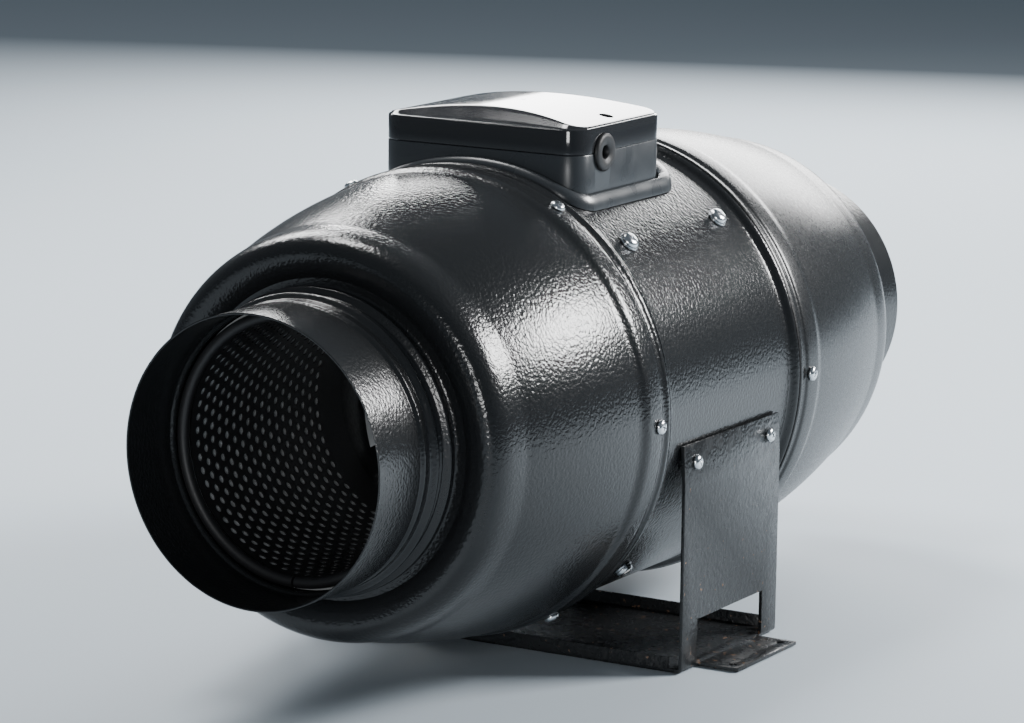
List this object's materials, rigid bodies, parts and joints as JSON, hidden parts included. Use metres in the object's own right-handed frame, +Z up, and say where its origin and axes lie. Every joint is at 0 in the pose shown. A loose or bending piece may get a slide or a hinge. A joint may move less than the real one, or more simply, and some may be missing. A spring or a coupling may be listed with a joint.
{
  "type": "inline duct fan",
  "caption": "Insulated mixed-flow inline duct fan with domed covers, round spigots, a terminal box on top and a folded mounting bracket underneath",
  "frame": {"origin": "middle of the bounding box's underside, on the bottom of the mounting bracket, straight below the air path", "axes": "+Y is the way the air flows, from inlet to outlet; +Z is up, towards the terminal box; +X is the side with the cable grommet"},
  "size_m": [0.312, 0.6202, 0.3098],
  "materials": {
    "black_coated_steel": "glossy textured coating",
    "black_liner_steel": "semi-matt",
    "dark_box_plastic": "satin",
    "glossy_lid_plastic": "polished",
    "grey_fan_plastic": "satin",
    "black_rubber": "matt",
    "grey_wool": "fibrous",
    "motor_steel": "machined",
    "white_plastic": "satin",
    "zinc_plated_steel": "bright zinc"
  },
  "bodies": {
    "fan_body": {"inlet_cover": "black_coated_steel", "outlet_cover": "black_coated_steel", "inlet_spigot": "black_coated_steel", "outlet_spigot": "black_coated_steel", "middle_casing": "black_coated_steel", "mounting_bracket": "black_coated_steel", "inlet_liner": "black_liner_steel", "outlet_liner": "black_liner_steel", "inlet_bulkhead": "black_liner_steel", "outlet_bulkhead": "black_liner_steel", "terminal_box_base": "dark_box_plastic", "terminal_box_saddle": "dark_box_plastic", "terminal_box_lid": "glossy_lid_plastic", "inlet_fan_housing": "grey_fan_plastic", "outlet_fan_housing": "grey_fan_plastic", "tail_cone": "grey_fan_plastic", "inlet_edge_seal": "black_rubber", "outlet_edge_seal": "black_rubber", "cable_grommet": "black_rubber", "inlet_wool": "grey_wool", "outlet_wool": "grey_wool", "motor_stator": "motor_steel", "terminal_block": "white_plastic", "run_capacitor": "white_plastic", "front_bearing": "zinc_plated_steel", "rear_bearing": "zinc_plated_steel", "inlet_cover_screw_1": "zinc_plated_steel", "inlet_cover_screw_2": "zinc_plated_steel", "inlet_cover_screw_3": "zinc_plated_steel", "inlet_cover_screw_4": "zinc_plated_steel", "inlet_cover_screw_5": "zinc_plated_steel", "inlet_cover_screw_6": "zinc_plated_steel", "outlet_cover_screw_1": "zinc_plated_steel", "outlet_cover_screw_2": "zinc_plated_steel", "outlet_cover_screw_3": "zinc_plated_steel", "casing_screw_1": "zinc_plated_steel", "casing_screw_2": "zinc_plated_steel", "casing_screw_3": "zinc_plated_steel", "casing_screw_4": "zinc_plated_steel", "casing_screw_5": "zinc_plated_steel", "casing_screw_6": "zinc_plated_steel", "casing_screw_7": "zinc_plated_steel", "casing_screw_8": "zinc_plated_steel", "bracket_screw_1": "zinc_plated_steel", "bracket_screw_2": "zinc_plated_steel", "bracket_screw_3": "zinc_plated_steel", "bracket_screw_4": "zinc_plated_steel", "lid_screw_1": "zinc_plated_steel", "lid_screw_2": "zinc_plated_steel"},
    "impeller": {"impeller": "grey_fan_plastic", "motor_rotor": "motor_steel", "motor_shaft": "motor_steel"}
  },
  "joints": [
    {"name": "impeller_spin", "type": "hinge", "parent": "fan_body", "child": "impeller", "pos_m": [0, -0.0452, 0.1475], "axis": [0, 1, 0], "continuous": true}
  ]
}
